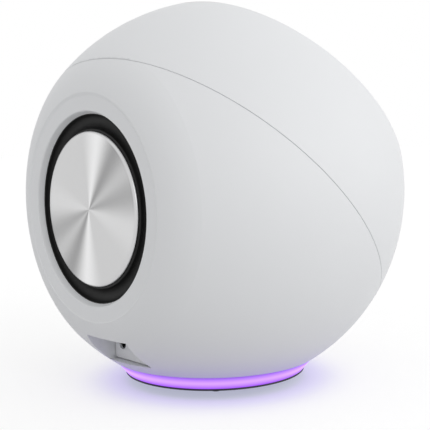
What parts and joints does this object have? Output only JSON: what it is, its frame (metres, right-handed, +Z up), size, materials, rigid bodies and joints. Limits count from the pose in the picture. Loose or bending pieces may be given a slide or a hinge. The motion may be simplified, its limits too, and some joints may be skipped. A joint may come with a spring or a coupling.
{
  "type": "desktop speaker",
  "caption": "Ball-shaped desktop speaker with a tilted front driver, a rear passive radiator, a volume knob, push buttons, rear sockets and a lit base ring.",
  "frame": {"origin": "point on the desk directly under the middle of the ball cabinet", "axes": "+Z up, -Y towards the listener, +Y out of the rear radiator and sockets"},
  "size_m": [0.1304, 0.1206, 0.1293],
  "materials": {
    "shell_white": "moulded, fine satin",
    "knob_white": "moulded, satin",
    "button_grey": "moulded, satin",
    "seal_rubber": "soft, matt",
    "trim_black": "fine moulded grain",
    "frame_black": "moulded",
    "light_diffuser": "milky, lit from inside",
    "base_dark": "moulded",
    "foot_rubber": "matt",
    "surround_rubber": "soft sheen",
    "cone_black": "pressed fibre, matt",
    "spun_aluminium": "turned, fine rings",
    "former_foil": "thin foil",
    "copper_wire": "wound wire",
    "spider_cloth": "impregnated cloth",
    "ferrite": "sintered, dark",
    "plated_steel": "zinc plated",
    "screw_steel": "plated",
    "screw_black": "blackened",
    "board_green": "solder mask",
    "board_white": "white solder mask",
    "led_package": "lit",
    "terminal_tan": "pressed board",
    "socket_steel": "plated",
    "socket_black": "moulded",
    "sink_black": "anodised",
    "can_aluminium": "drawn",
    "header_ivory": "moulded"
  },
  "bodies": {
    "cabinet": {"rear_shell": "shell_white", "front_shell": "shell_white", "seam_seal": "seal_rubber", "trim_ring": "trim_black", "light_ring": "light_diffuser", "base_plate": "base_dark", "feet": "foot_rubber", "base_screws": "screw_steel", "led_board": "board_white", "leds": "led_package", "driver_frame": "frame_black", "driver_gasket": "seal_rubber", "driver_screws": "screw_black", "driver_magnet": "ferrite", "driver_top_plate": "plated_steel", "driver_yoke": "plated_steel", "driver_terminals": "terminal_tan", "driver_spider": "spider_cloth", "driver_surround": "surround_rubber", "radiator_frame": "frame_black", "radiator_surround": "surround_rubber", "radiator_screws": "screw_steel", "main_board": "board_green", "board_screws": "screw_steel", "usb_c_socket": "socket_steel", "audio_socket": "socket_black", "amplifier_chip": "socket_black", "heat_sink": "sink_black", "capacitors": "can_aluminium", "inductors": "socket_black", "wireless_module": "can_aluminium", "small_chips": "socket_black", "board_headers": "header_ivory", "control_board": "board_green", "control_screws": "screw_steel", "volume_control": "socket_steel", "control_nut": "socket_steel", "touch_switches": "socket_black"},
    "cone_unit": {"driver_cone": "cone_black", "dust_cap": "spun_aluminium", "coil_former": "former_foil", "voice_coil": "copper_wire"},
    "radiator_unit": {"radiator_disc": "spun_aluminium", "radiator_backer": "frame_black", "radiator_weight": "plated_steel"},
    "knob_unit": {"volume_knob": "knob_white", "control_shaft": "socket_steel"},
    "light_push": {"light_button": "button_grey", "light_plunger": "socket_black"},
    "source_push": {"source_button": "button_grey", "source_plunger": "socket_black"}
  },
  "joints": [
    {"name": "cone_travel", "type": "slide", "parent": "cabinet", "child": "cone_unit", "axis": [0, -0.7071, 0.7071], "range_m": [-0.0025, 0.0025], "stiffness_N_per_m": 2000, "deforming": ["driver_surround", "driver_spider"]},
    {"name": "radiator_travel", "type": "slide", "parent": "cabinet", "child": "radiator_unit", "axis": [0, 1, 0], "range_m": [-0.0035, 0.0035], "stiffness_N_per_m": 3000, "deforming": ["radiator_surround"]},
    {"name": "volume_turn", "type": "hinge", "parent": "cabinet", "child": "knob_unit", "pos_m": [0, 0, 0.063], "axis": [0, -0.9272, -0.3746], "range_deg": [-150, 150]},
    {"name": "light_press", "type": "slide", "parent": "cabinet", "child": "light_push", "axis": [0, 0.9272, 0.3746], "range_m": [0, 0.0005], "stiffness_N_per_m": 3000},
    {"name": "source_press", "type": "slide", "parent": "cabinet", "child": "source_push", "axis": [0, 0.9272, 0.3746], "range_m": [0, 0.0005], "stiffness_N_per_m": 3000}
  ]
}
